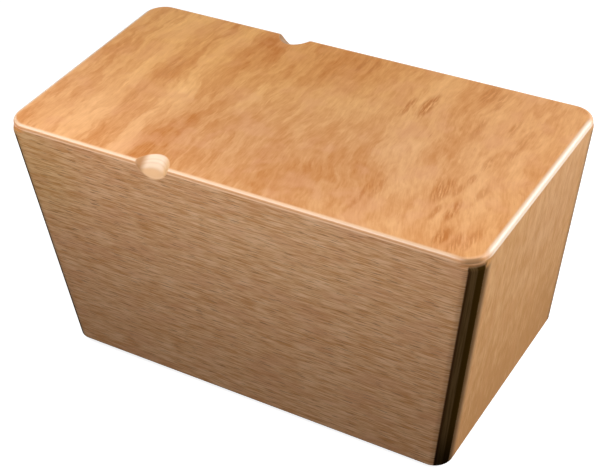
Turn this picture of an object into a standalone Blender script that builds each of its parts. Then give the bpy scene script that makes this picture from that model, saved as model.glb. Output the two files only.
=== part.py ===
# Bongo cajon: a box drum of plywood with a small high chamber and a large low chamber.
# X runs along the length with the high chamber at -X, the front faces -Y and +Z is up.
# The origin is on the ground, at the centre of the four feet. Lengths are in metres.

import math
from functools import partial

import bmesh
import bpy
from mathutils import Matrix

# Outer form
TOP_LENGTH = 0.400
BASE_LENGTH = 0.3406
WIDTH = 0.202
BODY_HEIGHT = 0.2026
BODY_CORNER_RADIUS = 0.014
TOP_CORNER_RADIUS = 0.0207
CORNER_BLEND = 0.0055
TOP_EDGE_RADIUS = 0.0037

# Boards
WALL_THICKNESS = 0.010
PLAYING_BOARD_THICKNESS = 0.004
DIVIDER_THICKNESS = 0.010
BOTTOM_THICKNESS = 0.006
DIVIDER_X = -0.0605

# Scoops in the front and rear top edge
SCOOP_LENGTH = 0.0335
SCOOP_REACH = 0.013

# Strips and posts inside
LINING_SIZE = 0.012
CLEAT_SIZE = 0.012
POST_SIZE = 0.018

# Sound holes in the bottom board
HIGH_HOLE_RADIUS = 0.021
LOW_HOLE_RADIUS = 0.036

# Feet
FOOT_HEIGHT = 0.006
FOOT_TOP_RADIUS = 0.009
FOOT_GROUND_RADIUS = 0.008
FOOT_EDGE_RADIUS = 0.0008
FOOT_BORE_RADIUS = 0.0042
FOOT_WEB = 0.0025

# Screws
SHANK_RADIUS = 0.00175
SHANK_TIP_LENGTH = 0.004
BOTTOM_SCREW_LENGTH = 0.016
COUNTERSUNK_HEAD_RADIUS = 0.0035
COUNTERSUNK_HEAD_HEIGHT = 0.0021
FOOT_SCREW_LENGTH = 0.016
PAN_HEAD_RADIUS = 0.0034
PAN_HEAD_HEIGHT = 0.0021
PAN_HEAD_RIM_HEIGHT = 0.0012
PAN_HEAD_CROWN_RADIUS = 0.0024
RECESS_WIDTH = 0.0009
RECESS_LENGTH = 0.0038
RECESS_DEPTH = 0.0012
SCREWS_PER_HIGH_CLEAT = 1
SCREWS_PER_LOW_CLEAT = 3

# Clearances and facets
GLUE_GAP = 0.0003
DRILL_GAP = 0.0003
CUT_MARGIN = 0.010
CORNER_STEPS = 8
EDGE_STEPS = 6
SCOOP_STEPS = 96
HOLE_STEPS = 48
TURN_STEPS = 16
SMOOTH_ANGLE = math.radians(35)

# Heights
BASE_Z = FOOT_HEIGHT + GLUE_GAP
TOP_Z = BASE_Z + BODY_HEIGHT
WALL_TOP_Z = TOP_Z - PLAYING_BOARD_THICKNESS - GLUE_GAP
FLOOR_Z = BASE_Z + BOTTOM_THICKNESS
INNER_FLOOR_Z = FLOOR_Z + GLUE_GAP

# Faces that the inner pieces meet
TAPER = (TOP_LENGTH - BASE_LENGTH) / 2 / BODY_HEIGHT
SLANT = math.sqrt(1 + TAPER * TAPER)
WALL_INNER_Y = WIDTH / 2 - WALL_THICKNESS
INNER_Y = WALL_INNER_Y - GLUE_GAP
POST_Y = INNER_Y - POST_SIZE
REACH_X = TOP_LENGTH / 2 + CUT_MARGIN
REACH_Y = WIDTH / 2 + CUT_MARGIN
DIVIDER_LOW_X = DIVIDER_X + DIVIDER_THICKNESS / 2
DIVIDER_HIGH_X = DIVIDER_X - DIVIDER_THICKNESS / 2


def end_face_x(z, depth=0.0):
    """Half length of the body at height z, this depth under the slanted end face."""
    return TOP_LENGTH / 2 - TAPER * (TOP_Z - z) - depth * SLANT


# Half lengths at a height: inside the end board, inside the post, and beside the post
end_inner_x = partial(end_face_x, depth=WALL_THICKNESS + GLUE_GAP)
post_inner_x = partial(end_face_x, depth=WALL_THICKNESS + GLUE_GAP + POST_SIZE)
post_side_x = partial(end_face_x, depth=WALL_THICKNESS + 2 * GLUE_GAP + POST_SIZE)


def clear_scene():
    for obj in list(bpy.data.objects):
        bpy.data.objects.remove(obj, do_unlink=True)


def new_collection(name, hidden=False):
    collection = bpy.data.collections.new(name)
    bpy.context.scene.collection.children.link(collection)
    collection.hide_render = hidden
    return collection


def new_material(name, colour, roughness, metallic=0.0):
    material = bpy.data.materials.new(name)
    material.use_nodes = True
    shader = material.node_tree.nodes["Principled BSDF"]
    shader.inputs["Base Color"].default_value = (*colour, 1.0)
    shader.inputs["Roughness"].default_value = roughness
    shader.inputs["Metallic"].default_value = metallic
    return material


def add_object(name, bm, collection, at=(0, 0, 0)):
    bm.normal_update()
    bmesh.ops.recalc_face_normals(bm, faces=bm.faces)
    mesh = bpy.data.meshes.new(name)
    bm.to_mesh(mesh)
    bm.free()
    obj = bpy.data.objects.new(name, mesh)
    obj.location = at
    collection.objects.link(obj)
    return obj


def add_part(name, bm, material, at=(0, 0, 0)):
    part = add_object(name, bm, parts, at)
    part.data.materials.append(material)
    part.parent = drum
    return part


def add_cutter(name, bm, at=(0, 0, 0), collection=None):
    cutter = add_object(name, bm, collection or cutters, at)
    cutter.display_type = "WIRE"
    cutter.hide_render = True
    return cutter


def box(limits_x, limits_y, limits_z, side=1):
    """A cube whose X faces may slant: each X limit is a number or a function of height.

    With side -1 the box is mirrored to the other end.
    """
    bm = bmesh.new()
    bmesh.ops.create_cube(bm, size=1)
    for vert in bm.verts:
        limit, y, z = (pair[place > 0] for pair, place in zip((limits_x, limits_y, limits_z), vert.co))
        vert.co = (side * (limit(z) if callable(limit) else limit), y, z)
    return bm


def rounded_ring(half_length, half_width, radius, z):
    """Points of a rectangle with rounded corners, anticlockwise seen from above."""
    points = []
    for corner, (side_x, side_y) in enumerate(((1, 1), (-1, 1), (-1, -1), (1, -1))):
        for step in range(CORNER_STEPS + 1):
            angle = math.radians(90) * (corner + step / CORNER_STEPS)
            x = side_x * (half_length - radius) + radius * math.cos(angle)
            y = side_y * (half_width - radius) + radius * math.sin(angle)
            points.append((x, y, z))
    return points


def loft(rings):
    """A closed skin over rings with equal numbers of points, capped at both ends."""
    bm = bmesh.new()
    loops = [[bm.verts.new(point) for point in ring] for ring in rings]
    count = len(loops[0])
    for lower, upper in zip(loops, loops[1:]):
        for i in range(count):
            j = (i + 1) % count
            bm.faces.new((lower[i], lower[j], upper[j], upper[i]))
    bm.faces.new(loops[0][::-1])
    bm.faces.new(loops[-1])
    return bm


def outer_form():
    """The sanded outside of the glued drum: slanted ends, rounded corners and top edge."""
    half_width = WIDTH / 2
    joint_z = TOP_Z - PLAYING_BOARD_THICKNESS
    blend_z = joint_z - CORNER_BLEND
    below_z = BASE_Z - CUT_MARGIN
    rings = [
        rounded_ring(end_face_x(below_z), half_width, BODY_CORNER_RADIUS, below_z),
        rounded_ring(end_face_x(blend_z), half_width, BODY_CORNER_RADIUS, blend_z),
    ]
    arc_z = TOP_Z - TOP_EDGE_RADIUS
    for step in range(EDGE_STEPS + 1):
        angle = math.radians(90) * step / EDGE_STEPS
        inset = TOP_EDGE_RADIUS * (1 - math.cos(angle))
        z = arc_z + TOP_EDGE_RADIUS * math.sin(angle)
        half_length = end_face_x(arc_z) - inset
        rings.append(rounded_ring(half_length, half_width - inset, TOP_CORNER_RADIUS - inset, z))
    return add_cutter("outer_form", loft(rings))


def scoop_cutter(side):
    """A round bar laid across the top edge at 45 degrees, as a drum sander would cut it."""
    depth = SCOOP_REACH / math.sqrt(2)
    radius = ((SCOOP_LENGTH / 2) ** 2 + depth**2) / (2 * depth)
    outward = (radius - depth) / math.sqrt(2)
    bm = bmesh.new()
    bmesh.ops.create_cone(
        bm,
        cap_ends=True,
        segments=SCOOP_STEPS,
        radius1=radius,
        radius2=radius,
        depth=2 * math.sqrt(2) * (SCOOP_REACH + CUT_MARGIN),
        matrix=Matrix.Rotation(side * math.radians(45), 4, "X"),
    )
    name = "front_scoop" if side < 0 else "rear_scoop"
    return add_cutter(name, bm, (DIVIDER_X, side * (WIDTH / 2 + outward), TOP_Z + outward))


def sound_hole_cutter(name, x, radius):
    bm = bmesh.new()
    bmesh.ops.create_cone(
        bm,
        cap_ends=True,
        segments=HOLE_STEPS,
        radius1=radius,
        radius2=radius,
        depth=BOTTOM_THICKNESS + 2 * CUT_MARGIN,
    )
    return add_cutter(name, bm, (x, 0, BASE_Z + BOTTOM_THICKNESS / 2))


def boolean(obj, operation, other):
    """Cuts with one object, or with every object of a collection."""
    modifier = obj.modifiers.new(other.name, "BOOLEAN")
    modifier.operation = operation
    modifier.solver = "EXACT"
    if isinstance(other, bpy.types.Collection):
        modifier.operand_type = "COLLECTION"
        modifier.collection = other
    else:
        modifier.object = other


def profile_line(profile):
    """Points (radius, height), top to bottom, as a line in the XZ plane."""
    bm = bmesh.new()
    verts = [bm.verts.new((radius, 0, z)) for radius, z in profile]
    for upper, lower in zip(verts, verts[1:]):
        bm.edges.new((upper, lower))
    return bm


def turn(obj):
    """Spins the object's line about Z."""
    modifier = obj.modifiers.new("turn", "SCREW")
    modifier.steps = TURN_STEPS
    modifier.render_steps = TURN_STEPS
    modifier.use_merge_vertices = True
    modifier.merge_threshold = 0.00001
    modifier.use_smooth_shade = False
    return obj


def smooth(obj):
    obj.data.shade_smooth()
    obj.data.set_sharp_from_angle(angle=SMOOTH_ANGLE)


def wall_boards(form, scoops):
    """Front and rear board cover the edges of the slanted end boards."""
    heights = (BASE_Z, WALL_TOP_Z)
    for name, side, scoop in zip(("front_board", "rear_board"), (-1, 1), scoops):
        limits_y = sorted((side * WALL_INNER_Y, side * REACH_Y))
        board = add_part(name, box((-REACH_X, REACH_X), limits_y, heights), plywood)
        boolean(board, "INTERSECT", form)
        boolean(board, "DIFFERENCE", scoop)
    end_board_inner_x = partial(end_face_x, depth=WALL_THICKNESS)
    for name, side in (("high_end_board", -1), ("low_end_board", 1)):
        slab = box((end_board_inner_x, REACH_X), (-INNER_Y, INNER_Y), heights, side)
        boolean(add_part(name, slab, plywood), "INTERSECT", form)


def playing_board(form, scoops):
    heights = (TOP_Z - PLAYING_BOARD_THICKNESS, TOP_Z + CUT_MARGIN)
    slab = box((-REACH_X, REACH_X), (-REACH_Y, REACH_Y), heights)
    board = add_part("playing_board", slab, top_veneer)
    boolean(board, "INTERSECT", form)
    for scoop in scoops:
        boolean(board, "DIFFERENCE", scoop)


def divider_board():
    heights = (INNER_FLOOR_Z, WALL_TOP_Z)
    slab = box((DIVIDER_HIGH_X, DIVIDER_LOW_X), (-INNER_Y, INNER_Y), heights)
    add_part("divider_board", slab, plywood)


def other_end_inner_x(z):
    return -end_inner_x(z)


def bottom_board():
    """Let in flush with the lower edges of the walls, with a sound hole for each chamber."""
    slab = box((other_end_inner_x, end_inner_x), (-INNER_Y, INNER_Y), (BASE_Z, FLOOR_Z))
    board = add_part("bottom_board", slab, plywood)
    floor_x = end_inner_x(FLOOR_Z)
    high_x = (DIVIDER_HIGH_X - floor_x) / 2
    low_x = (DIVIDER_LOW_X + floor_x) / 2
    boolean(board, "DIFFERENCE", sound_hole_cutter("high_sound_hole", high_x, HIGH_HOLE_RADIUS))
    boolean(board, "DIFFERENCE", sound_hole_cutter("low_sound_hole", low_x, LOW_HOLE_RADIUS))
    boolean(board, "DIFFERENCE", drill_holes)


def corner_posts():
    """Posts lean with the end boards and run from the bottom board to the playing board."""
    heights = (INNER_FLOOR_Z, WALL_TOP_Z)
    for end, side_x in (("high", -1), ("low", 1)):
        for face, side_y in (("front", -1), ("rear", 1)):
            limits_y = sorted((side_y * POST_Y, side_y * INNER_Y))
            slab = box((post_inner_x, end_inner_x), limits_y, heights, side_x)
            post = add_part(f"{face}_{end}_corner_post", slab, softwood)
            boolean(post, "DIFFERENCE", drill_holes)


def strips(kind, size, heights):
    """Glue strips round both chambers, between the posts and the divider."""
    made = []
    strip_inner_x = partial(end_face_x, depth=WALL_THICKNESS + GLUE_GAP + size)
    end_y = POST_Y - GLUE_GAP
    chambers = (("high", -1, -DIVIDER_HIGH_X), ("low", 1, DIVIDER_LOW_X))
    for chamber, side_x, divider_x in chambers:
        for face, side_y in (("front", -1), ("rear", 1)):
            limits_y = sorted((side_y * (INNER_Y - size), side_y * INNER_Y))
            slab = box((divider_x + GLUE_GAP, post_side_x), limits_y, heights, side_x)
            made.append(add_part(f"{face}_{chamber}_{kind}", slab, softwood))
        slab = box((strip_inner_x, end_inner_x), (-end_y, end_y), heights, side_x)
        made.append(add_part(f"{chamber}_end_{kind}", slab, softwood))
    return made


def evenly(count, start, stop):
    """Middles of this many equal lengths between start and stop."""
    return [start + (stop - start) * (i + 0.5) / count for i in range(count)]


def bottom_screw_places():
    row_y = INNER_Y - CLEAT_SIZE / 2
    floor_x = post_side_x(FLOOR_Z)
    spans = (
        (SCREWS_PER_HIGH_CLEAT, -floor_x, DIVIDER_HIGH_X),
        (SCREWS_PER_LOW_CLEAT, DIVIDER_LOW_X, floor_x),
    )
    places = [(x, side * row_y) for side in (-1, 1) for span in spans for x in evenly(*span)]
    end_x = end_inner_x(FLOOR_Z) - CLEAT_SIZE / 2
    return places + [(-end_x, 0), (end_x, 0)]


def foot_places():
    """Each foot sits under the middle of a corner post."""
    x = (post_inner_x(BASE_Z) + end_inner_x(BASE_Z)) / 2
    y = (POST_Y + INNER_Y) / 2
    return [(side_x * x, side_y * y) for side_x in (-1, 1) for side_y in (-1, 1)]


def countersunk_profile():
    """Wood screw, head down with its face at height 0."""
    return [
        (0, BOTTOM_SCREW_LENGTH),
        (SHANK_RADIUS, BOTTOM_SCREW_LENGTH - SHANK_TIP_LENGTH),
        (SHANK_RADIUS, COUNTERSUNK_HEAD_HEIGHT),
        (COUNTERSUNK_HEAD_RADIUS, 0),
        (0, 0),
    ]


def countersunk_hole_profile():
    """The same screw with clearance all round, run out through the face that it is driven from."""
    tip, *side, _ = countersunk_profile()
    grown = [(radius + DRILL_GAP, z + DRILL_GAP) for radius, z in side]
    mouth = grown[-1][0]
    return [(0, tip[1] + DRILL_GAP), *grown, (mouth, -CUT_MARGIN), (0, -CUT_MARGIN)]


def pan_profile():
    """Pan-head screw, head down: the head hangs below height 0 and the shank rises from it."""
    return [
        (0, FOOT_SCREW_LENGTH),
        (SHANK_RADIUS, FOOT_SCREW_LENGTH - SHANK_TIP_LENGTH),
        (SHANK_RADIUS, 0),
        (PAN_HEAD_RADIUS, 0),
        (PAN_HEAD_RADIUS, -PAN_HEAD_RIM_HEIGHT),
        (PAN_HEAD_CROWN_RADIUS, -PAN_HEAD_HEIGHT),
        (0, -PAN_HEAD_HEIGHT),
    ]


def pilot_profile():
    """Hole for the shank of a pan-head screw."""
    radius = SHANK_RADIUS + DRILL_GAP
    tip = FOOT_SCREW_LENGTH + DRILL_GAP
    return [(0, tip), (radius, tip - SHANK_TIP_LENGTH), (radius, 0), (0, 0)]


def foot_profile():
    """Rubber foot with a bore from below that hides the screw head."""
    edge = FOOT_EDGE_RADIUS
    hole = SHANK_RADIUS + DRILL_GAP
    web_z = FOOT_HEIGHT - FOOT_WEB
    return [
        (hole, FOOT_HEIGHT),
        (FOOT_TOP_RADIUS - edge, FOOT_HEIGHT),
        (FOOT_TOP_RADIUS, FOOT_HEIGHT - edge),
        (FOOT_GROUND_RADIUS, edge),
        (FOOT_GROUND_RADIUS - edge, 0),
        (FOOT_BORE_RADIUS, 0),
        (FOOT_BORE_RADIUS, web_z),
        (hole, web_z),
        (hole, FOOT_HEIGHT),
    ]


def recess_cutter(name, x, y, z):
    """A prism with a cross outline, pressed into a screw head from below."""
    arm = RECESS_LENGTH / 2
    half = RECESS_WIDTH / 2
    quarter = ((arm, -half), (arm, half), (half, half))
    outline = []
    for step in range(4):
        cos = round(math.cos(math.radians(90) * step))
        sin = round(math.sin(math.radians(90) * step))
        outline += [(u * cos - v * sin, u * sin + v * cos) for u, v in quarter]
    rings = [[(u, v, level) for u, v in outline] for level in (-RECESS_DEPTH, RECESS_DEPTH)]
    return add_cutter(name, loft(rings), (x, y, z))


def bottom_screws():
    for number, (x, y) in enumerate(bottom_screw_places(), 1):
        place = (x, y, BASE_Z)
        screw = turn(add_part(f"bottom_screw_{number}", profile_line(countersunk_profile()), steel, place))
        boolean(screw, "DIFFERENCE", recess_cutter(f"bottom_screw_recess_{number}", x, y, BASE_Z))
        hole = profile_line(countersunk_hole_profile())
        turn(add_cutter(f"bottom_screw_hole_{number}", hole, place, drill_holes))


def feet():
    seat_z = FOOT_HEIGHT - FOOT_WEB - GLUE_GAP
    head_z = seat_z - PAN_HEAD_HEIGHT
    for number, (x, y) in enumerate(foot_places(), 1):
        turn(add_part(f"foot_{number}", profile_line(foot_profile()), rubber, (x, y, 0)))
        place = (x, y, seat_z)
        screw = turn(add_part(f"foot_screw_{number}", profile_line(pan_profile()), steel, place))
        boolean(screw, "DIFFERENCE", recess_cutter(f"foot_screw_recess_{number}", x, y, head_z))
        turn(add_cutter(f"foot_screw_hole_{number}", profile_line(pilot_profile()), place, drill_holes))


clear_scene()
parts = new_collection("bongo_cajon")
cutters = new_collection("cutters", hidden=True)
drill_holes = new_collection("drill_holes", hidden=True)
drum = bpy.data.objects.new("drum", None)
parts.objects.link(drum)

top_veneer = new_material("top_veneer", (0.72, 0.36, 0.13), 0.35)
plywood = new_material("plywood", (0.47, 0.25, 0.11), 0.42)
softwood = new_material("softwood", (0.66, 0.48, 0.28), 0.7)
rubber = new_material("rubber", (0.02, 0.02, 0.02), 0.8)
steel = new_material("steel", (0.55, 0.55, 0.56), 0.35, 1.0)

sanded_form = outer_form()
both_scoops = (scoop_cutter(-1), scoop_cutter(1))
playing_board(sanded_form, both_scoops)
wall_boards(sanded_form, both_scoops)
divider_board()
bottom_board()
corner_posts()
strips("lining", LINING_SIZE, (WALL_TOP_Z - LINING_SIZE, WALL_TOP_Z))
for cleat in strips("cleat", CLEAT_SIZE, (INNER_FLOOR_Z, INNER_FLOOR_Z + CLEAT_SIZE)):
    boolean(cleat, "DIFFERENCE", drill_holes)
bottom_screws()
feet()
for part in parts.objects:
    if part.type == "MESH":
        smooth(part)
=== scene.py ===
import math

import bmesh
import bpy
from mathutils import Matrix, Vector


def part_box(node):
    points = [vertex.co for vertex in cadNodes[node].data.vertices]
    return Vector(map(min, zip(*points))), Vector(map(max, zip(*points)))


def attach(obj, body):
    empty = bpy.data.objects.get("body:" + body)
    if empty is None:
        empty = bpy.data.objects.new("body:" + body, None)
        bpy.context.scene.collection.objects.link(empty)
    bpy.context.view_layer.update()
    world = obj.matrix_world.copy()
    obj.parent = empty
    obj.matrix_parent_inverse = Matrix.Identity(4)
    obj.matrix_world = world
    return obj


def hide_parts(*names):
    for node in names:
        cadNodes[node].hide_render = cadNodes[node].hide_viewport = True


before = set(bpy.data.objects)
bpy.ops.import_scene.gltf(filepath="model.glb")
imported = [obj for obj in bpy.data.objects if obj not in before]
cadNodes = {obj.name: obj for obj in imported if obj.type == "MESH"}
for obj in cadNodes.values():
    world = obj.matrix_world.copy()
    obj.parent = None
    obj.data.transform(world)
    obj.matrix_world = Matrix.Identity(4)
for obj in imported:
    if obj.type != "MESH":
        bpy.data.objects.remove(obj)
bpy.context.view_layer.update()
print("frame loaded:", len(cadNodes), "solids")


# Helpers for modelling

def objectMode():
    if bpy.context.mode != "OBJECT":
        bpy.ops.object.mode_set(mode="OBJECT")


def pick(*objs):
    objectMode()
    bpy.ops.object.select_all(action="DESELECT")
    for obj in objs:
        obj.select_set(True)
    bpy.context.view_layer.objects.active = objs[0]


def edit(obj):
    pick(obj)
    bpy.ops.object.mode_set(mode="EDIT")
    bpy.ops.mesh.select_all(action="DESELECT")


def selectWhere(obj, kind, test):  # kind is VERT, EDGE or FACE
    bpy.ops.mesh.select_mode(type=kind)
    bpy.ops.mesh.select_all(action="DESELECT")
    mesh = bmesh.from_edit_mesh(obj.data)
    for item in {"VERT": mesh.verts, "EDGE": mesh.edges, "FACE": mesh.faces}[kind]:
        if test(item):
            item.select_set(True)
    mesh.select_flush_mode()
    bmesh.update_edit_mesh(obj.data)


def copyOf(obj, name):
    twin = obj.copy()
    twin.data = obj.data.copy()
    twin.name = name
    twin.data.name = name
    bpy.context.scene.collection.objects.link(twin)
    return twin


def remove(obj):
    bpy.data.objects.remove(obj, do_unlink=True)


def applyModifiers(obj):
    pick(obj)
    for modifier in list(obj.modifiers):
        bpy.ops.object.modifier_apply(modifier=modifier.name)


def carve(obj, tool):
    modifier = obj.modifiers.new("carve", "BOOLEAN")
    modifier.operation = "DIFFERENCE"
    modifier.solver = "EXACT"
    modifier.object = tool
    applyModifiers(obj)
    remove(tool)


def cutOff(obj, point, normal):  # takes away what lies on the normal's side and closes the cut
    edit(obj)
    bpy.ops.mesh.select_all(action="SELECT")
    bpy.ops.mesh.bisect(plane_co=point, plane_no=normal, use_fill=True, clear_outer=True)
    objectMode()


def smooth(obj, degrees):
    pick(obj)
    bpy.ops.object.shade_smooth_by_angle(angle=math.radians(degrees))
    modifier = obj.modifiers.new("flatsStayFlat", "WEIGHTED_NORMAL")
    modifier.keep_sharp = True
    modifier.weight = 100
    applyModifiers(obj)


# The sanded outside of the drum: one block, from which the boards are cut

drumShape = {
    "topLength": 0.400,
    "baseLength": 0.3406,
    "endBoard": 0.010,  # thickness of the walls
    "playingBoard": 0.004,
    "bodyCorner": 0.014,  # rounding of the upright corners
    "topCorner": 0.0182,  # rounding of the playing board's corners in plan
    "cornerSteps": 14,
    "blendDepth": 0.0060,  # how far below the playing board the two roundings meet
    "blendRings": 4,
    "topEdge": 0.0037,
    "topEdgeSteps": 6,
    "bottomEdge": 0.0008,
    "bottomEdgeSteps": 3,
    "scoopLength": 0.0290,  # along the edge, without the rounded rim
    "scoopIn": 0.0134,  # how far it reaches into the playing board
    "scoopDown": 0.0112,  # and down the wall
    "scoopRim": 0.0014,
    "scoopRimSteps": 4,
    "frontScoopShift": -0.0010,  # the front scoop sits a little further left than the rear one
    "barSides": 112,  # of the round bar that carves a scoop
    "barLength": 0.07,
    "seam": 0.00002,  # how far short of its joint a board is cut; points that lie on the joint stay there
    "flatBelow": 0.1,  # degrees between two faces of the flats that become one face
    "smoothBelow": 32,  # and between two faces that are shaded as one
}

touch = 0.00001  # points nearer than this to a level or a face lie on it
barTouch = 0.00002  # and so for the round of the bar

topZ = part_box("playing_board")[1].z
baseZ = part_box("front_board")[0].z
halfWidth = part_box("playing_board")[1].y
dividerX = sum(corner.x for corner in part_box("divider_board")) / 2
jointZ = topZ - drumShape["playingBoard"]
taper = (drumShape["topLength"] - drumShape["baseLength"]) / 2 / (topZ - baseZ)
slant = math.hypot(1, taper)


def endX(z, depth=0.0):  # half length of the body at a height, this deep under the slanted face
    return drumShape["topLength"] / 2 - taper * (topZ - z) - depth * slant


def addOutline(z, halfLength, radius):
    bpy.ops.mesh.primitive_plane_add(size=2, location=(0, 0, z))
    plate = bpy.context.object
    bpy.ops.object.mode_set(mode="EDIT")
    bpy.ops.transform.resize(value=(halfLength, halfWidth, 1))
    bpy.ops.mesh.bevel(offset=radius, segments=drumShape["cornerSteps"], affect="VERTICES", profile=0.5)
    objectMode()
    bpy.ops.object.transform_apply(location=True)
    return plate


def outlineLevels():  # height, half length and corner radius, from the base up to the joint
    bodyCorner, topCorner = drumShape["bodyCorner"], drumShape["topCorner"]
    edgeX = endX(topZ - drumShape["topEdge"])
    blendZ = jointZ - drumShape["blendDepth"]
    levels = [(baseZ, endX(baseZ), bodyCorner)]
    for ring in range(drumShape["blendRings"] + 1):
        t = ring / drumShape["blendRings"]
        ease = t * t * (3 - 2 * t)
        z = blendZ + t * (jointZ - blendZ)
        levels.append((z, min(endX(z), edgeX), bodyCorner + ease * (topCorner - bodyCorner)))
    return levels


def liesAt(item, z):  # an edge or a face with all its points on this level
    return all(abs(v.co.z - z) < touch for v in item.verts)


def makeBlock():
    bpy.ops.object.select_all(action="DESELECT")
    levels = outlineLevels()
    pick(*[addOutline(*level) for level in levels])
    bpy.ops.object.join()
    block = bpy.context.object
    block.name = "block"
    edit(block)
    heights = [level[0] for level in levels]
    selectWhere(block, "FACE", lambda f: any(liesAt(f, z) for z in heights[1:-1]))
    bpy.ops.mesh.delete(type="ONLY_FACE")
    for low, high in zip(heights, heights[1:]):
        selectWhere(block, "EDGE", lambda e: liesAt(e, low) or liesAt(e, high))
        bpy.ops.mesh.bridge_edge_loops()
    selectWhere(block, "FACE", lambda f: liesAt(f, jointZ))
    bpy.ops.mesh.extrude_region_move(TRANSFORM_OT_translate={"value": (0, 0, topZ - jointZ)})
    selectWhere(block, "EDGE", lambda e: liesAt(e, baseZ))
    bpy.ops.mesh.bevel(offset=drumShape["bottomEdge"], segments=drumShape["bottomEdgeSteps"], profile=0.5)
    selectWhere(block, "EDGE", lambda e: liesAt(e, topZ))
    bpy.ops.mesh.bevel(offset=drumShape["topEdge"], segments=drumShape["topEdgeSteps"], profile=0.5)
    selectWhere(block, "FACE", lambda f: all(abs(abs(v.co.y) - halfWidth) < touch for v in f.verts))
    bpy.ops.mesh.dissolve_limited(angle_limit=math.radians(drumShape["flatBelow"]))
    bpy.ops.mesh.select_all(action="SELECT")
    bpy.ops.mesh.normals_make_consistent(inside=False)
    objectMode()
    return block


slope = math.hypot(drumShape["scoopIn"], drumShape["scoopDown"])
scoopDepth = drumShape["scoopIn"] * drumShape["scoopDown"] / slope
scoopRadius = ((drumShape["scoopLength"] / 2) ** 2 + scoopDepth ** 2) / (2 * scoopDepth)
scoopAxis = Vector((0, drumShape["scoopIn"], drumShape["scoopDown"])) / slope  # of the front scoop
scoopOut = Vector((0, -scoopAxis.z, scoopAxis.y))  # square to it, out of the drum


def fromLine(point, middle, axis):  # how far the point is from the line through the middle
    away = point - middle
    return (away - axis * away.dot(axis)).length


def cutScoops(block):
    mirror = Vector((1, -1, 1))
    edgePoint = Vector((dividerX, -halfWidth, topZ))
    centre = edgePoint + scoopOut * (scoopRadius - scoopDepth)
    shift = Vector((drumShape["frontScoopShift"], 0, 0))
    bars = [(centre + shift, scoopAxis), (centre * mirror, scoopAxis * mirror)]
    for middle, axis in bars:
        tilt = math.atan2(-axis.y, axis.z)
        bpy.ops.mesh.primitive_cylinder_add(vertices=drumShape["barSides"], radius=scoopRadius,
                                            depth=drumShape["barLength"], location=middle,
                                            rotation=(tilt, 0, 0))
        carve(block, bpy.context.object)

    def onBar(face):
        for bar in bars:
            if all(abs(fromLine(v.co, *bar) - scoopRadius) < barTouch for v in face.verts):
                return True
        return False

    def isRim(edge):
        return len(edge.link_faces) == 2 and onBar(edge.link_faces[0]) != onBar(edge.link_faces[1])

    edit(block)
    selectWhere(block, "EDGE", isRim)
    bpy.ops.mesh.bevel(offset=drumShape["scoopRim"], segments=drumShape["scoopRimSteps"], profile=0.5,
                       clamp_overlap=False, loop_slide=False)
    flats = ((2, 1, topZ), (1, 1, halfWidth), (1, -1, -halfWidth))  # no rim point stands out of these faces
    for axis, sign, place in flats:
        selectWhere(block, "VERT", lambda v: (v.co[axis] - place) * sign > 0)
        flatten, centre = [1, 1, 1], [0, 0, 0]
        flatten[axis], centre[axis] = 0, place
        bpy.ops.transform.resize(value=flatten, center_override=centre)
    objectMode()


def boardFrom(block, name, node, cuts):
    board = copyOf(block, name)
    for point, normal in cuts:
        cutOff(board, point, normal)
    smooth(board, drumShape["smoothBelow"])
    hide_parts(node)
    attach(board, "root")
    return board


block = makeBlock()
cutScoops(block)
print("block:", len(block.data.vertices), "points")

seam = drumShape["seam"]
wallY = halfWidth - drumShape["endBoard"]
under = ((0, 0, jointZ - seam), (0, 0, 1))
over = ((0, 0, jointZ + seam), (0, 0, -1))
playingBoard = boardFrom(block, "playingBoard", "playing_board", [over])
frontBoard = boardFrom(block, "frontBoard", "front_board", [under, ((0, -wallY, 0), (0, 1, 0))])
rearBoard = boardFrom(block, "rearBoard", "rear_board", [under, ((0, wallY, 0), (0, -1, 0))])
endBoards = []
for name, node, side in (("highEndBoard", "high_end_board", -1), ("lowEndBoard", "low_end_board", 1)):
    behindFront = ((0, -wallY + seam, 0), (0, -1, 0))
    beforeRear = ((0, wallY - seam, 0), (0, 1, 0))
    innerFace = ((side * endX(topZ, drumShape["endBoard"]), 0, topZ), (-side, 0, taper))
    cuts = [under, behindFront, beforeRear, innerFace]
    endBoards.append(boardFrom(block, name, node, cuts))
remove(block)
print("boards cut")


# Shader nodes

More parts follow.
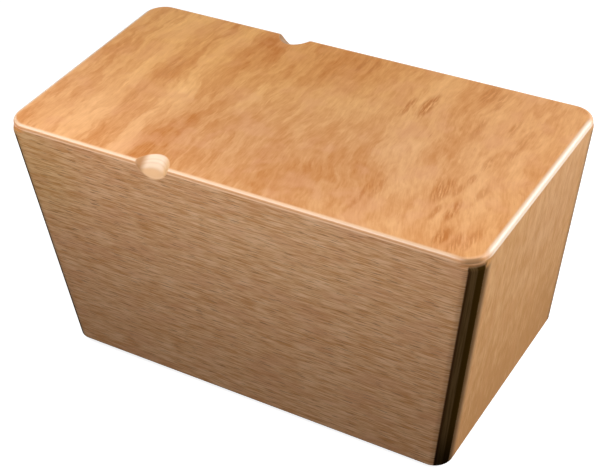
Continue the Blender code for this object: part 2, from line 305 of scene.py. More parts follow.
class Shading:  # the nodes of one material, or of the world

    def __init__(self, owner):
        owner.use_nodes = True
        self.owner = owner
        self.tree = owner.node_tree
        self.shader = self.tree.nodes.get("Principled BSDF")

    def node(self, kind, inputs=None, **settings):
        made = self.tree.nodes.new(kind)
        for key, value in settings.items():
            setattr(made, key, value)
        for key, value in (inputs or {}).items():
            self.put(made.inputs[key], value)
        return made

    def put(self, socket, value):
        if isinstance(value, bpy.types.NodeSocket):
            self.tree.links.new(value, socket)
        else:
            socket.default_value = value

    def set(self, **values):  # sockets of the main shader, written without the spaces of their names
        for socket in self.shader.inputs:
            key = socket.name.replace(" ", "")
            if key in values:
                self.put(socket, values.pop(key))

    def maths(self, operation, a, b=0.0, c=0.0):
        return self.node("ShaderNodeMath", {0: a, 1: b, 2: c}, operation=operation).outputs[0]

    def times(self, a, *others):
        for b in others:
            a = self.maths("MULTIPLY", a, b)
        return a

    def plus(self, a, b):
        return self.maths("ADD", a, b)

    def minus(self, a, b):
        return self.maths("SUBTRACT", a, b)

    def timesPlus(self, a, b, c):  # a times b, plus c
        return self.maths("MULTIPLY_ADD", a, b, c)

    def larger(self, a, b):
        return self.maths("MAXIMUM", a, b)

    def smaller(self, a, b):
        return self.maths("MINIMUM", a, b)

    def size(self, a):
        return self.maths("ABSOLUTE", a)

    def vector(self, x, y, z):
        return self.node("ShaderNodeCombineXYZ", {0: x, 1: y, 2: z}).outputs[0]

    def noise(self, place, scale=1.0, detail=2.0, roughness=0.5):
        inputs = {"Vector": place, "Scale": scale, "Detail": detail, "Roughness": roughness}
        return self.node("ShaderNodeTexNoise", inputs).outputs["Fac"]

    def grain(self, along, across, alongScale, acrossScale, seed, detail=2.0, roughness=0.5):
        point = self.vector(self.times(along, alongScale), self.times(across, acrossScale), seed)
        return self.noise(point, 1.0, detail, roughness)

    def between(self, value, low, high, start=0.0, end=1.0):
        inputs = {"Value": value, "From Min": low, "From Max": high, "To Min": start, "To Max": end}
        return self.node("ShaderNodeMapRange", inputs, interpolation_type="SMOOTHSTEP").outputs[0]

    def opposite(self, value):  # 1 for 0 and 0 for 1
        return self.between(value, 0.0, 1.0, 1.0, 0.0)

    def band(self, value, low, high, blur):  # 1 between low and high, 0 outside
        rising = self.between(value, low - blur, low + blur)
        return self.times(rising, self.between(value, high - blur, high + blur, 1.0, 0.0))

    def hill(self, value, centre, reach):  # 1 at the centre, 0 from the reach on
        return self.between(self.size(self.minus(value, centre)), 0.0, reach, 1.0, 0.0)

    def spot(self, x, y, centreX, centreY, reachX, reachY, core=0.3, end=1.4):  # 1 in an oval that fades out
        aside = self.times(self.minus(x, centreX), 1 / reachX)
        along = self.times(self.minus(y, centreY), 1 / reachY)
        far = self.node("ShaderNodeVectorMath", {0: self.vector(aside, along, 0.0)}, operation="LENGTH")
        return self.between(far.outputs["Value"], core, end, 1.0, 0.0)

    def mix(self, factor, a, b, blend="MIX"):
        made = self.node("ShaderNodeMix", {0: factor}, data_type="RGBA", blend_type=blend)
        for index, value in ((6, a), (7, b)):
            self.put(made.inputs[index], value if isinstance(value, bpy.types.NodeSocket) else (*value, 1.0))
        return made.outputs[2]

    def objectPlace(self):
        place = self.node("ShaderNodeTexCoord").outputs["Object"]
        parts = self.node("ShaderNodeSeparateXYZ", {0: place}).outputs
        return place, parts[0], parts[1], parts[2]

    def bump(self, height, strength, distance=0.0002):
        made = self.node("ShaderNodeBump", {"Height": height, "Strength": strength, "Distance": distance})
        self.put(self.shader.inputs["Normal"], made.outputs[0])


def newMaterial(name):
    return Shading(bpy.data.materials.new(name))


# Scoops: bare, pale wood in them and on their rims, with painted highlight in the middle and along the lower
# lip, and painted shade on their left walls, deepest in the rear scoop

scoopLook = {
    # the middle colour is pale bare wood with a painted highlight, the lip colour a painted highlight on the
    # lower rim, the left and rear colours painted shade on the left walls
    "middle": (0.88, 0.66, 0.48),
    "right": (0.79, 0.46, 0.22),
    "left": (0.47, 0.235, 0.100),
    "low": (0.68, 0.40, 0.205),
    "lip": (0.82, 0.51, 0.29),
    "rear": (0.38, 0.20, 0.090),
    "rightFrom": (0.002, 0.012),  # how far aside from the middle one colour turns into the next
    "leftFrom": (-0.0118, -0.0068),
    "rearUpTo": (-0.003, 0.004),
    "rearShade": 0.85,
    "lowFrom": (0.0052, 0.0080),  # and how far below the playing face
    "lipFrom": (0.0060, 0.0080),
    "lipBlur": 0.0002,
    "glueLines": [(0.0017, 0.0024), (0.0034, 0.0043)],
    "glueBlur": 0.0002,
    "glueShare": 0.25,
    "rim": (0.0003, 0.0011),  # how far past the round of the bar the bare wood fades out
    "below": (0.002, 0.001),  # it ends this far below the bottom of the scoop
    "coat": 0.3,
    "middleBlur": 0.001,  # of the border between the front and the rear half of the drum
}


def frontOrRear(wood, y, front, rear):  # one value in the front half of the drum, the other in the rear half
    blur = scoopLook["middleBlur"]
    return wood.between(y, -blur, blur, front, rear)


def inScoop(wood, x, y, z, colour):  # the colour with the bare wood and its painted highlight and shade, and 1 where they are
    look = scoopLook
    out = wood.times(wood.minus(wood.size(y), halfWidth), -scoopOut.y)
    out = wood.plus(out, wood.times(wood.minus(z, topZ), scoopOut.z))
    fromAxis = wood.minus(scoopRadius - scoopDepth, out)
    aside = wood.minus(x, frontOrRear(wood, y, dividerX + drumShape["frontScoopShift"], dividerX))
    far = wood.maths("SQRT", wood.plus(wood.times(aside, aside), wood.times(fromAxis, fromAxis)))
    hollow = wood.between(far, scoopRadius + look["rim"][0], scoopRadius + look["rim"][1], 1.0, 0.0)
    deepest, shallowest = look["below"]
    hollow = wood.times(hollow, wood.between(out, -scoopDepth - deepest, -scoopDepth - shallowest))

    depth = wood.minus(topZ, z)
    bareWoodAndPaintedLight = wood.mix(wood.between(aside, *look["rightFrom"]), look["middle"], look["right"])
    glue = wood.larger(*[wood.band(depth, *line, look["glueBlur"]) for line in look["glueLines"]])
    bareWoodAndPaintedLight = wood.mix(wood.times(glue, look["glueShare"]), bareWoodAndPaintedLight, look["low"])
    bareWoodAndPaintedLight = wood.mix(wood.between(depth, *look["lowFrom"]), bareWoodAndPaintedLight, look["low"])
    # painted highlight along the lower lip
    lip = wood.between(far, scoopRadius - look["lipBlur"], scoopRadius + look["lipBlur"])
    lip = wood.times(lip, wood.between(depth, *look["lipFrom"]))
    bareWoodAndPaintedLight = wood.mix(lip, bareWoodAndPaintedLight, look["lip"])
    # painted shade on the left walls, deeper in the rear scoop
    bareWoodAndPaintedLight = wood.mix(wood.between(aside, *look["leftFrom"]), look["left"], bareWoodAndPaintedLight)
    shaded = wood.between(aside, *look["rearUpTo"], look["rearShade"], 0.0)
    shaded = wood.times(frontOrRear(wood, y, 0.0, 1.0), shaded)
    bareWoodAndPaintedLight = wood.mix(shaded, bareWoodAndPaintedLight, look["rear"])
    return wood.mix(hollow, colour, bareWoodAndPaintedLight), hollow


# Left front corner: browner and darker under the rounded edge, on the playing board and on the wall

leftCornerLook = {
    "tint": (0.98, 0.70, 0.45),
    "upTo": (-0.186, -0.177),  # along the drum
    "depths": (0.0022, 0.0066),  # below the playing face
    "blur": 0.0004,
}


def leftCorner(wood, x, depth, colour):
    look = leftCornerLook
    browner = wood.between(x, *look["upTo"], 1.0, 0.0)
    browner = wood.times(browner, wood.band(depth, *look["depths"], look["blur"]))
    return wood.mix(browner, colour, look["tint"], "MULTIPLY")


# Playing board: honey-coloured veneer with its grain across the drum

topLook = {
    "light": (0.89, 0.490, 0.215),
    "dark": (0.51, 0.160, 0.018),
    "pink": (0.74, 0.345, 0.165),
    "pinkNoise": (45.0, 3.0),  # how fast it changes, detail
    "pinkRange": (0.48, 0.68, 0.0, 0.35),  # from which value to which it sets in, and how much
    "tints": [  # colour and place: warmer at the back left, cooler in the middle
        ((1.0, 0.98, 0.74), (-0.090, 0.085, 0.20, 0.11)), ((0.94, 1.0, 1.12), (0.030, -0.030, 0.13, 0.11)),
    ],
    "lean": 0.045,  # how far the figure of the right half bends to the right towards the front
    "leanFrom": (-0.02, 0.14),
    "wander": 0.016,  # how far the figure wanders, and how far its borders ripple
    "ripple": 0.012,
    "wanderGrain": (9.0, 14.0, 0.0),  # how fast it changes along and across the drum, seed
    "rippleGrain": (110.0, 50.0, 4.0, 3.0),  # and detail
    "fibreGrain": (110.0, 900.0, 1.0),  # how fast it changes along and across the grain, seed
    "streakGrain": (80.0, 480.0, 2.0, 3.0, 0.6),  # and detail and roughness
    "flameGrain": (20.0, 80.0, 9.0, 3.0, 0.55),
    "tone": 0.54,  # between dark and light, before bands and patches
    "fibreShare": 0.35,
    "figureRoughness": 0.55,
    "figure": [  # how fast it changes along and across the grain, seed, detail, share in the tone
        (75.0, 280.0, 5.0, 3.0, 0.52), (28.0, 80.0, 3.0, 2.0, 0.26), (14.0, 34.0, 8.0, 3.0, 0.50),
        (120.0, 160.0, 6.0, 3.0, 0.30),
    ],
    "flameShare": 0.14,  # of the figure with crisp borders, which is stronger in the left half
    "flameBorder": (0.46, 0.55),
    "leftFlames": (-0.06, 0.0, 0.08, 0.0),
    "bands": [  # where across the drum, how wide, how much lighter (or darker)
        (-0.180, 0.026, -0.08), (-0.148, 0.024, 0.15), (-0.119, 0.014, -0.17), (-0.098, 0.013, 0.22),
        (-0.070, 0.022, -0.15), (0.078, 0.018, 0.17), (0.110, 0.018, -0.12), (0.145, 0.026, 0.08),
    ],
    "patches": [  # places that are darker or lighter: centre, half extents, how much; the wide ones along the front edge and in the front middle are painted shade
        (-0.175, 0.075, 0.035, 0.045, 0.04), (-0.025, 0.075, 0.085, 0.045, -0.22),
        (-0.150, -0.065, 0.045, 0.050, 0.02), (0.015, -0.045, 0.100, 0.060, -0.17),
        (-0.076, -0.075, 0.030, 0.045, -0.09), (0.000, -0.105, 0.300, 0.070, -0.09),
        (0.085, -0.010, 0.060, 0.080, -0.06), (-0.125, 0.015, 0.018, 0.040, -0.07),
        (-0.195, 0.0, 0.03, 0.10, -0.06), (0.096, -0.008, 0.012, 0.022, 0.13),
        (0.119, -0.037, 0.013, 0.024, 0.16), (0.144, -0.067, 0.014, 0.026, 0.16),
        (0.090, -0.045, 0.012, 0.030, -0.07), (-0.128, 0.035, 0.012, 0.030, 0.08),
    ],
    "fleck": (0.42, 0.115, 0.004),
    "fleckStrength": 0.85,
    "fleckRange": (0.33, 0.58),  # of the streaks that are dark in a stroke
    "thinFlecks": (0.64, 0.80, 0.0, 0.5),  # and elsewhere
    "fray": 0.006,  # how far the rims of the strokes fray
    "strokeRim": (0.5, 1.4),  # a stroke fades from here to here, in half extents
    "strokes": [  # short dark strokes: centre, half width, half length, strength
        (0.083, 0.053, 0.0042, 0.017, 1.0), (0.070, 0.045, 0.0034, 0.013, 0.8),
        (0.010, 0.083, 0.0030, 0.014, 0.6), (0.020, 0.085, 0.0026, 0.012, 0.5),
        (0.118, 0.085, 0.0060, 0.014, 0.6), (0.130, 0.078, 0.0040, 0.014, 0.5),
        (0.140, -0.038, 0.0065, 0.016, 0.8), (0.155, 0.004, 0.0024, 0.009, 0.5),
        (0.153, -0.018, 0.0024, 0.008, 0.6), (0.150, -0.034, 0.0026, 0.008, 0.6),
        (0.157, -0.056, 0.0034, 0.013, 0.9), (0.147, -0.062, 0.0024, 0.010, 0.6),
        (0.166, -0.030, 0.0032, 0.011, 0.5), (0.163, -0.086, 0.0044, 0.012, 0.9),
        (0.174, -0.088, 0.0044, 0.013, 0.7), (0.182, -0.080, 0.0034, 0.014, 0.6),
        (0.092, -0.060, 0.0024, 0.028, 0.6), (0.099, -0.055, 0.0024, 0.018, 0.5),
        (0.154, 0.050, 0.0026, 0.014, 0.45), (0.166, 0.030, 0.0034, 0.022, 0.4),
        (0.130, 0.040, 0.0034, 0.016, 0.5), (-0.125, 0.018, 0.0065, 0.020, 0.5),
        (-0.129, -0.030, 0.0044, 0.018, 0.35), (-0.012, 0.060, 0.0024, 0.012, 0.4),
        (-0.003, 0.066, 0.0024, 0.014, 0.45), (-0.027, 0.080, 0.0024, 0.012, 0.4),
        (0.042, -0.050, 0.0026, 0.016, 0.3),
    ],
    "plies": [  # depth under the playing face down to which the sanded edge has a colour; the first colour is pale sanded veneer and a painted highlight
        (0.00015, None), (0.0015, (0.84, 0.54, 0.33)), (0.0029, (0.62, 0.30, 0.125)),
        (0.0050, (0.86, 0.52, 0.30)),
    ],
    "plyBlur": 0.0002,
    "pliesFade": (0.174, 0.186, 1.0, 0.35),  # towards the right corners
    "cornerBrown": (0.36, 0.19, 0.085),
    "cornerPlace": (0.1915, -0.0970, 0.0080, 0.0065, 0.4, 1.3),  # of the painted shade on the rim: centre, extents, fading
    "cornerFrom": (0.0004, 0.0012),  # and its depth
    "cornerShare": 0.9,
    "endRim": (0.80, 0.62, 0.47),  # painted highlight on the rounded edges over the end boards
    "endRimFrom": (0.1945, 0.1975),
    "endRimFades": (0.080, 0.092, 1.0, 0.0),
    "edge": (0.0, 0.0005),  # depth over which the flat turns into the rounded edge
    "coat": (0.2, 1.0),  # on the flat and on the rounded edge
    "coatRoughness": (0.32, 0.13),
    "endCoat": (0.188, 0.194, 1.0, 0.5),  # the coat is thinner over the end boards
    "cornerCoat": 0.2,
    "roughness": 0.5,
    "sheen": 0.1,
    "relief": (0.5, 0.04),  # share of the fibres in the relief, and its strength
}


def honeyTone(wood, x, y, across, rippled, fibre):  # 0 is the dark colour, 1 the light one
    look = topLook
    shares = sum(share for *_, share in look["figure"]) + look["fibreShare"] + look["flameShare"]
    flames = wood.between(wood.grain(y, rippled, *look["flameGrain"]), *look["flameBorder"])
    tone = wood.timesPlus(fibre, look["fibreShare"], look["tone"] - shares / 2)
    tone = wood.timesPlus(flames, look["flameShare"], tone)
    tone = wood.timesPlus(wood.minus(flames, 0.5), wood.between(x, *look["leftFlames"]), tone)
    for *grain, share in look["figure"]:
        tone = wood.timesPlus(wood.grain(y, across, *grain, look["figureRoughness"]), share, tone)
    for centre, reach, strength in look["bands"]:
        tone = wood.timesPlus(wood.hill(rippled, centre, reach), strength, tone)
    # the patches are figure of the veneer, and painted shade towards the front
    for *spot, strength in look["patches"]:
        tone = wood.timesPlus(wood.spot(x, y, *spot), strength, tone)
    return tone


def darkFlecks(wood, x, y, ripple, streaks):  # dark streaks of the grain, in the strokes and thinly elsewhere
    look = topLook
    frayed = wood.timesPlus(ripple, look["fray"], wood.minus(x, look["fray"] / 2))
    here = None
    for *spot, strength in look["strokes"]:
        near = wood.times(wood.spot(frayed, y, *spot, *look["strokeRim"]), strength)
        here = near if here is None else wood.larger(here, near)
    flecks = wood.times(here, wood.between(streaks, *look["fleckRange"]))
    return wood.larger(flecks, wood.between(streaks, *look["thinFlecks"]))


def sandedRimAndPaintedLight(wood, x, y, depth, colour):  # the plies in the rounded edge, the first with a painted highlight; painted highlight over the end boards, painted shade at the right front corner and the browner left corner
    look = topLook
    fading = wood.between(x, *look["pliesFade"])
    # the first ply colour is pale sanded veneer and a painted highlight
    for (start, _), (end, ply) in zip(look["plies"], look["plies"][1:]):
        shown = wood.times(wood.band(depth, start, end, look["plyBlur"]), fading)
        colour = wood.mix(shown, colour, ply)
    colour = leftCorner(wood, x, depth, colour)
    # painted shade on the rim at the right front corner
    rightCorner = wood.times(wood.spot(x, y, *look["cornerPlace"]), wood.between(depth, *look["cornerFrom"]))
    colour = wood.mix(wood.times(rightCorner, look["cornerShare"]), colour, look["cornerBrown"])
    # painted highlight on the rounded edges over the end boards
    endRim = wood.between(wood.size(x), *look["endRimFrom"])
    endRim = wood.times(endRim, wood.between(wood.size(y), *look["endRimFades"]))
    return wood.mix(endRim, colour, look["endRim"]), rightCorner


def varnish(wood, x, y, depth, hollow, rightCorner):  # thin in the front scoop, none in the rear one
    look = topLook
    coat = wood.between(depth, *look["edge"], *look["coat"])
    coat = wood.smaller(coat, wood.between(hollow, 0.0, 1.0, 1.0, scoopLook["coat"]))
    coat = wood.smaller(coat, wood.between(wood.size(x), *look["endCoat"]))
    coat = wood.times(coat, wood.between(rightCorner, 0.0, 1.0, 1.0, look["cornerCoat"]))
    return wood.times(coat, wood.opposite(wood.times(hollow, frontOrRear(wood, y, 0.0, 1.0))))


def topVeneer():
    look = topLook
    wood = newMaterial("honeyVeneer")
    place, x, y, z = wood.objectPlace()
    fromBack = wood.times(wood.minus(halfWidth, y), 0.5 / halfWidth)
    lean = wood.times(fromBack, fromBack, wood.between(x, *look["leanFrom"]), -look["lean"])
    wander = wood.grain(x, y, *look["wanderGrain"])
    ripple = wood.grain(x, y, *look["rippleGrain"])
    across = wood.plus(wood.plus(x, lean), wood.timesPlus(wander, look["wander"], -look["wander"] / 2))
    rippled = wood.timesPlus(ripple, look["ripple"], wood.minus(across, look["ripple"] / 2))
    fibre = wood.grain(y, across, *look["fibreGrain"])
    streaks = wood.grain(y, across, *look["streakGrain"])

    colour = wood.mix(honeyTone(wood, x, y, across, rippled, fibre), look["dark"], look["light"])
    pinkness = wood.between(wood.noise(place, *look["pinkNoise"]), *look["pinkRange"])
    colour = wood.mix(pinkness, colour, look["pink"])
    for tint, spot in look["tints"]:
        colour = wood.mix(wood.spot(x, y, *spot), colour, tint, "MULTIPLY")
    flecks = darkFlecks(wood, x, y, ripple, streaks)
    colour = wood.mix(wood.times(flecks, look["fleckStrength"]), colour, look["fleck"])

    depth = wood.minus(topZ, z)
    colour, rightCorner = sandedRimAndPaintedLight(wood, x, y, depth, colour)
    colour, hollow = inScoop(wood, x, y, z, colour)
    wood.set(BaseColor=colour, Roughness=look["roughness"], SpecularIORLevel=look["sheen"],
             CoatWeight=varnish(wood, x, y, depth, hollow, rightCorner),
             CoatRoughness=wood.between(depth, *look["edge"], *look["coatRoughness"]))
    fibreShare, strength = look["relief"]
    wood.bump(wood.timesPlus(fibre, fibreShare, streaks), strength)
    return wood.owner


# Walls: tan plywood, its face grain along the drum or up the end boards, with dark plies at its cut ends

faceLook = {
    "front": {
        "light": (0.815, 0.485, 0.280),
        "dark": (0.575, 0.257, 0.095),
        "red": (0.66, 0.315, 0.165),
        "figure": [  # how fast it changes along and across the grain, detail, roughness, share in the tone
            (60.0, 950.0, 3.0, 0.6, 0.64), (20.0, 300.0, 3.0, 0.55, 0.29), (9.0, 60.0, 3.0, 0.5, 0.07),
        ],
        "toneRange": (0.38, 0.62),
        "pores": (70.0, 1200.0, 3.0),  # how fast they change along and across the grain, detail
        "poreRange": (0.575, 0.68),
        "poreShare": 0.75,
        "tints": [  # colour and place: yellower at the upper left, paler in the upper middle
            ((0.93, 0.96, 0.84), (-0.185, 0.175, 0.055, 0.055)),
            ((1.03, 1.07, 1.09), (0.060, 0.170, 0.140, 0.050)),
            ((1.00, 1.03, 1.03), (0.0, 0.100, 0.250, 0.120)),
        ],
    },
    "end": {
        "light": (0.70, 0.385, 0.170),
        "dark": (0.54, 0.250, 0.072),
        "red": (0.60, 0.285, 0.100),
        "figure": [
            (90.0, 420.0, 3.0, 0.5, 0.42), (45.0, 110.0, 3.0, 0.5, 0.38), (22.0, 34.0, 3.0, 0.5, 0.20),
        ],
        "toneRange": (0.32, 0.68),
        "pores": (90.0, 1100.0, 2.0),
        "poreRange": (0.60, 0.74),
        "poreShare": 0.25,
        "tints": [
            ((1.01, 1.03, 1.13), (0.045, 0.165, 0.075, 0.055)),
            ((0.97, 0.97, 0.97), (0.09, 0.05, 0.06, 0.06)),
        ],
    },
}

wallLook = {
    "wave": (9.0, 1.0, 0.0015),  # of the grain lines: how fast it changes, detail, how far they wave
    "pore": (0.26, 0.110, 0.045),
    "detail": 3.0,  # of the red grain and of the streaks in the plies
    "redGrain": (24.0, 60.0),  # how fast it changes along and across the grain
    "redRange": (0.48, 0.66),
    "redShare": 0.4,
    "darkerBase": (0.12, -0.13),  # reach and change of tone at the base of the end boards, and at their top: painted shade at the base, painted light at the top
    "lighterTop": (0.07, 0.05),
    "plies": [  # depth under the face up to which the end grain has a colour
        (0.0017, (0.055, 0.021, 0.007)), (0.0046, (0.125, 0.069, 0.026)), (0.0120, (0.046, 0.022, 0.003)),
    ],
    "plyBlur": 0.0006,
    "plyStreaks": (25.0, 1500.0),  # how fast they change up the end and across the plies
    "streakRange": (0.42, 0.62, 0.0, 0.45),
    "baseShade": (0.05, 0.75),  # reach and strength of the painted shade that darkens the end grain near the base
    "faceVeneer": 0.0009,  # how thick the face shows beside the end grain
    "veneerBlur": 0.0003,
    "jointFade": (0.0012, 0.7),  # the end grain fades a little before the joint with the end board
    "endGrainReach": 0.0096,  # how far from the end the end grain shows
    "endGrainBlur": 0.0006,
    "endGrainFrom": (0.0040, 0.0076),  # it starts this far below the playing face
    "leftLag": (0.0045, 0.01),  # and this much further below at the left end, blur at the middle
    "besideEnd": (0.004, 0.2),  # reach and strength of the shade beside it on the long boards
    "besideEndFrom": (0.004, 0.008),
    "baseCut": (0.0003, 0.0007),  # how far above the base the cut shows
    "baseEdge": (0.0002, 0.0018, 0.6),  # and the face is darkened by painted shade, and how much
    "jointShade": (0.0200, 0.8),  # how far from the front face the end boards are darkened by painted shade, and how much
    "jointShadeFrom": (0.0060, 0.0120),
    "roughness": 0.5,
    "sheen": 0.02,
    "relief": (-0.6, 0.2),  # share of the pores in the relief, and its strength
}


def faceGrain(wood, kind, along, across, aside, z, down, seed):  # each grain of a wall has a seed of its own
    look = faceLook[kind]
    grains = []
    tone = 0.0
    for alongScale, acrossScale, detail, roughness, share in look["figure"]:
        ownSeed = seed + 2 * len(grains)
        grains.append(wood.grain(along, across, alongScale, acrossScale, ownSeed, detail, roughness))
        tone = wood.timesPlus(grains[-1], share, tone)
    # painted shade towards the base of the end boards, painted light at their top
    if kind == "end":
        reach, change = wallLook["darkerBase"]
        tone = wood.plus(tone, wood.between(z, baseZ, baseZ + reach, change, 0.0))
        reach, change = wallLook["lighterTop"]
        tone = wood.plus(tone, wood.between(down, 0.0, reach, change, 0.0))
    colour = wood.mix(wood.between(tone, *look["toneRange"]), look["dark"], look["light"])
    redness = wood.grain(along, across, *wallLook["redGrain"], seed + 8, wallLook["detail"])
    redness = wood.between(redness, *wallLook["redRange"])
    colour = wood.mix(wood.times(redness, wallLook["redShare"]), colour, look["red"])
    alongScale, acrossScale, detail = look["pores"]
    pores = wood.grain(along, across, alongScale, acrossScale, seed + 6, detail)
    pores = wood.between(pores, *look["poreRange"])
    colour = wood.mix(wood.times(pores, look["poreShare"]), colour, wallLook["pore"])
    for tint, spot in look["tints"]:
        colour = wood.mix(wood.spot(aside, z, *spot), colour, tint, "MULTIPLY")
    return colour, grains[0], pores


def endGrain(wood, depth, z, seed):  # the plies of a cut end, from the face inwards
    look = wallLook
    plies, blur = look["plies"], look["plyBlur"]
    colour = plies[0][1]
    for (border, _), (_, inner) in zip(plies, plies[1:]):
        colour = wood.mix(wood.between(depth, border - blur, border + blur), colour, inner)
    streaks = wood.grain(z, depth, *look["plyStreaks"], seed + 10, look["detail"])
    colour = wood.mix(wood.between(streaks, *look["streakRange"]), colour, plies[-1][1])
    # painted shade: the end grain darkens towards black near the base
    reach, strength = look["baseShade"]
    return wood.mix(wood.between(z, baseZ, baseZ + reach, strength, 0.0), colour, (0.0, 0.0, 0.0))


def whereCut(wood, x, z, down, fromEnd, depth):  # 1 where the cut plies show: at the ends and at the base
    look = wallLook
    veneer, veneerBlur, endBoard = look["faceVeneer"], look["veneerBlur"], drumShape["endBoard"]
    fade, rest = look["jointFade"]
    inside = wood.times(wood.between(depth, veneer - veneerBlur, veneer + veneerBlur),
                        wood.between(depth, endBoard - fade, endBoard, 1.0, rest))
    reach, blur = look["endGrainReach"], look["endGrainBlur"]
    atEnd = wood.between(fromEnd, reach - blur, reach + blur, 1.0, 0.0)
    lag, blur = look["leftLag"]
    leftLag = wood.between(x, -blur, blur, lag, 0.0)
    atEnd = wood.times(atEnd, wood.between(wood.minus(down, leftLag), *look["endGrainFrom"]))
    low, high = look["baseCut"]
    atBase = wood.between(z, baseZ + low, baseZ + high, 1.0, 0.0)
    return wood.times(inside, wood.larger(atEnd, atBase))


def wallWood(name, kind, along, across, depthOf, seed):
    look = wallLook
    wood = newMaterial(name)
    place, x, y, z = wood.objectPlace()
    axes = {"x": x, "y": y, "z": z}
    along, across = axes[along], axes[across]
    scale, detail, wave = look["wave"]
    across = wood.timesPlus(wood.noise(place, scale, detail), wave, across)
    down = wood.minus(topZ, z)
    fromEnd = wood.minus(wood.timesPlus(down, -taper, drumShape["topLength"] / 2), wood.size(x))
    depth = depthOf(wood, x, y, z, fromEnd)
    innermost = look["plies"][-1][1]

    aside = x if kind == "front" else y
    colour, fine, pores = faceGrain(wood, kind, along, across, aside, z, down, seed)
    # painted shade along the base edge, and beside the end grain on the long boards
    low, high, strength = look["baseEdge"]
    shade = wood.between(z, baseZ + low, baseZ + high, strength, 0.0)
    if kind == "front":
        end = look["endGrainReach"]
        reach, strength = look["besideEnd"]
        besideEnd = wood.between(fromEnd, end, end + reach, strength, 0.0)
        besideEnd = wood.times(besideEnd, wood.between(down, *look["besideEndFrom"]))
        shade = wood.larger(shade, besideEnd)
    colour = wood.mix(shade, colour, innermost)
    cut = whereCut(wood, x, z, down, fromEnd, depth)
    colour = wood.mix(cut, colour, endGrain(wood, depth, z, seed))
    if kind == "front":
        colour = leftCorner(wood, x, down, colour)
        colour, _ = inScoop(wood, x, y, z, colour)
    else:
        reach, strength = look["jointShade"]
        # painted shade on the end boards beside the joint with the front board
        joint = wood.between(wood.size(y), halfWidth - reach, halfWidth - drumShape["endBoard"])
        joint = wood.times(joint, wood.between(down, *look["jointShadeFrom"]), strength)
        colour = wood.mix(joint, colour, innermost)
    wood.set(BaseColor=colour, Roughness=look["roughness"],
             SpecularIORLevel=wood.times(wood.opposite(cut), look["sheen"]))
    poreShare, strength = look["relief"]
    wood.bump(wood.timesPlus(pores, poreShare, fine), strength)
    return wood.owner


def underFront(wood, x, y, z, fromEnd):  # these four say how deep a point lies under the face of its board
    return wood.minus(halfWidth, wood.size(y))


def underEnd(wood, x, y, z, fromEnd):
    return wood.times(fromEnd, 1 / slant)


def underDivider(wood, x, y, z, fromEnd):
    low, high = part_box("divider_board")
    return wood.minus((high.x - low.x) / 2, wood.size(wood.minus(x, dividerX)))


def underBottom(wood, x, y, z, fromEnd):
    return wood.minus(z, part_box("bottom_board")[0].z)


def dress(obj, material):
    obj.data.materials.clear()
    obj.data.materials.append(material)


dress(playingBoard, topVeneer())
frontWood = wallWood("tanPlywoodLong", "front", "x", "z", underFront, 1.0)
endWood = wallWood("tanPlywoodEnd", "end", "z", "y", underEnd, 7.0)
for board in (frontBoard, rearBoard):
    dress(board, frontWood)
for board in endBoards:
    dress(board, endWood)
dress(cadNodes["divider_board"], wallWood("tanPlywoodDivider", "end", "z", "y", underDivider, 13.0))
dress(cadNodes["bottom_board"], wallWood("tanPlywoodBottom", "front", "x", "y", underBottom, 19.0))


# Strips, posts, feet and screws

innerLook = {  # grain is how fast the figure changes, for the softwood along x, y and z
    "softwood": {
        "dark": (0.62, 0.42, 0.22), "light": (0.80, 0.62, 0.38), "grain": (60.0, 260.0, 260.0),
        "roughness": 0.7, "relief": 0.2,
    },
    "rubber": {
        "dark": (0.012, 0.012, 0.012), "light": (0.03, 0.03, 0.03), "grain": 900.0,
        "roughness": 0.8, "relief": 0.3,
    },
    "steel": {
        "dark": (0.50, 0.51, 0.52), "light": (0.68, 0.68, 0.70), "grain": 700.0,
        "roughness": (0.3, 0.7, 0.25, 0.45),
    },
    "detail": 3.0,
}


def paleSoftwood():
    look = innerLook["softwood"]
    wood = newMaterial("paleSoftwood")
    _, *parts = wood.objectPlace()
    stretched = wood.vector(*[wood.times(part, scale) for part, scale in zip(parts, look["grain"])])
    rings = wood.noise(stretched, 1.0, innerLook["detail"])
    wood.set(BaseColor=wood.mix(rings, look["dark"], look["light"]), Roughness=look["roughness"])
    wood.bump(rings, look["relief"])
    return wood.owner


def blackRubber():
    look = innerLook["rubber"]
    rubber = newMaterial("blackRubber")
    grain = rubber.noise(rubber.objectPlace()[0], look["grain"], innerLook["detail"])
    rubber.set(BaseColor=rubber.mix(grain, look["dark"], look["light"]), Roughness=look["roughness"])
    rubber.bump(grain, look["relief"])
    return rubber.owner


def zincedSteel():
    look = innerLook["steel"]
    steel = newMaterial("zincedSteel")
    grain = steel.noise(steel.objectPlace()[0], look["grain"], innerLook["detail"])
    steel.set(BaseColor=steel.mix(grain, look["dark"], look["light"]), Metallic=1.0,
              Roughness=steel.between(grain, *look["roughness"]))
    return steel.owner


softwood, rubber, steel = paleSoftwood(), blackRubber(), zincedSteel()
for name, solid in cadNodes.items():
    if "screw" in name:
        dress(solid, steel)
    elif name.startswith("foot"):
        dress(solid, rubber)
    elif name.endswith(("post", "lining", "cleat")):
        dress(solid, softwood)
print("materials made")


# Studio: a pale floor, four softboxes and the camera

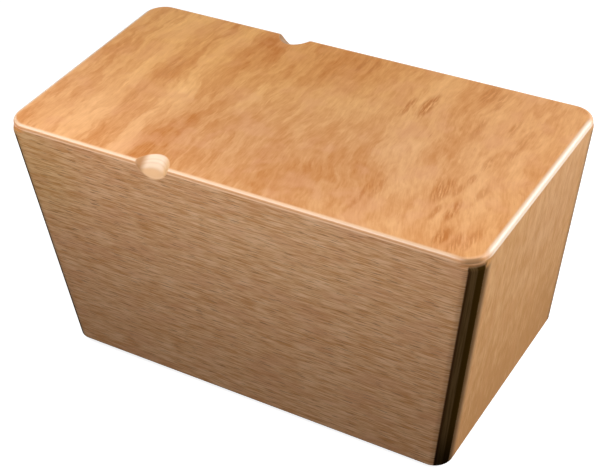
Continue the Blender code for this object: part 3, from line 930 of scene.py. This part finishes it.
studio = {
    "air": 0.06,  # strength of the world, but for what the camera and reflections see
    "floorSize": 8,
    "floorZ": -0.0002,
    "floorBounce": 0.08,  # how much of the light the floor gives back to the drum
    "floorTone": 0.5,  # and what the camera and reflections see of it
    "floorGlow": 0.85,
    "floorRoughness": 0.9,
    "aim": (0, 0, 0.12),  # the point that every lamp looks at
    "lamps": {  # place, width, height, power in watts
        "frontSoftbox": ((-0.10, -0.32, 0.44), 0.9, 0.20, 2.07),
        "upperLeftSoftbox": ((-0.45, 0.1, 0.75), 0.6, 0.6, 0.5),
        "rightSoftbox": ((0.85, 0.1, 0.65), 0.5, 0.8, 5.5),
        "backRightSoftbox": ((0.85, 0.90, 0.70), 0.5, 0.6, 9.5),
    },
}


def seenDirectly(nodes):  # 1 for what the camera, a reflection or a clear material shows
    rays = nodes.node("ShaderNodeLightPath").outputs
    mirrored = nodes.larger(rays["Is Glossy Ray"], rays["Is Transmission Ray"])
    return nodes.larger(rays["Is Camera Ray"], mirrored)


scene = bpy.context.scene
scene.world = bpy.data.worlds.new("studioAir")
air = Shading(scene.world)
background = air.tree.nodes["Background"]
background.inputs["Color"].default_value = (1, 1, 1, 1)
air.put(background.inputs["Strength"], air.timesPlus(seenDirectly(air), 1 - studio["air"], studio["air"]))

bpy.ops.mesh.primitive_plane_add(size=studio["floorSize"], location=(0, 0, studio["floorZ"]))
floor = bpy.context.object
floor.name = "studioFloor"
cloth = newMaterial("paleFloor")
seen = seenDirectly(cloth)
cloth.set(BaseColor=cloth.mix(seen, (studio["floorBounce"],) * 3, (studio["floorTone"],) * 3),
          Roughness=studio["floorRoughness"], SpecularIORLevel=0.0,
          EmissionColor=(1, 1, 1, 1), EmissionStrength=cloth.times(seen, studio["floorGlow"]))
dress(floor, cloth.owner)


def softbox(name, place, width, height, power):
    data = bpy.data.lights.new(name, "AREA")
    data.shape = "RECTANGLE"
    data.size = width
    data.size_y = height
    data.energy = power
    lamp = bpy.data.objects.new(name, data)
    scene.collection.objects.link(lamp)
    lamp.location = place
    lamp.rotation_euler = (Vector(place) - Vector(studio["aim"])).to_track_quat("Z", "Y").to_euler()


for name, (place, width, height, power) in studio["lamps"].items():
    softbox(name, place, width, height, power)

camera = {
    "azimuth": 33.911, "elevation": 37.418, "roll": -4.863,
    "distance": 1.14363, "target": (0.011444, -0.025828, 0.115877), "lens": 89.554,
}
azimuth, elevation, roll = (math.radians(camera[key]) for key in ("azimuth", "elevation", "roll"))
level = math.cos(elevation)
back = Vector((math.sin(azimuth) * level, -math.cos(azimuth) * level, math.sin(elevation)))
right = (-back).cross(Vector((0, 0, 1))).normalized()
up = right.cross(-back)
rolledRight = right * math.cos(roll) + up * math.sin(roll)
rolledUp = up * math.cos(roll) - right * math.sin(roll)
turned = Matrix((rolledRight, rolledUp, back)).transposed()
cameraPlace = Vector(camera["target"]) + back * camera["distance"]
cameraData = bpy.data.cameras.new("camera")
cameraData.sensor_width = 36
cameraData.lens = camera["lens"]
cameraObject = bpy.data.objects.new("camera", cameraData)
scene.collection.objects.link(cameraObject)
cameraObject.matrix_world = Matrix.Translation(cameraPlace) @ turned.to_4x4()
scene.camera = cameraObject
scene.view_settings.view_transform = "Standard"
print("studio ready")
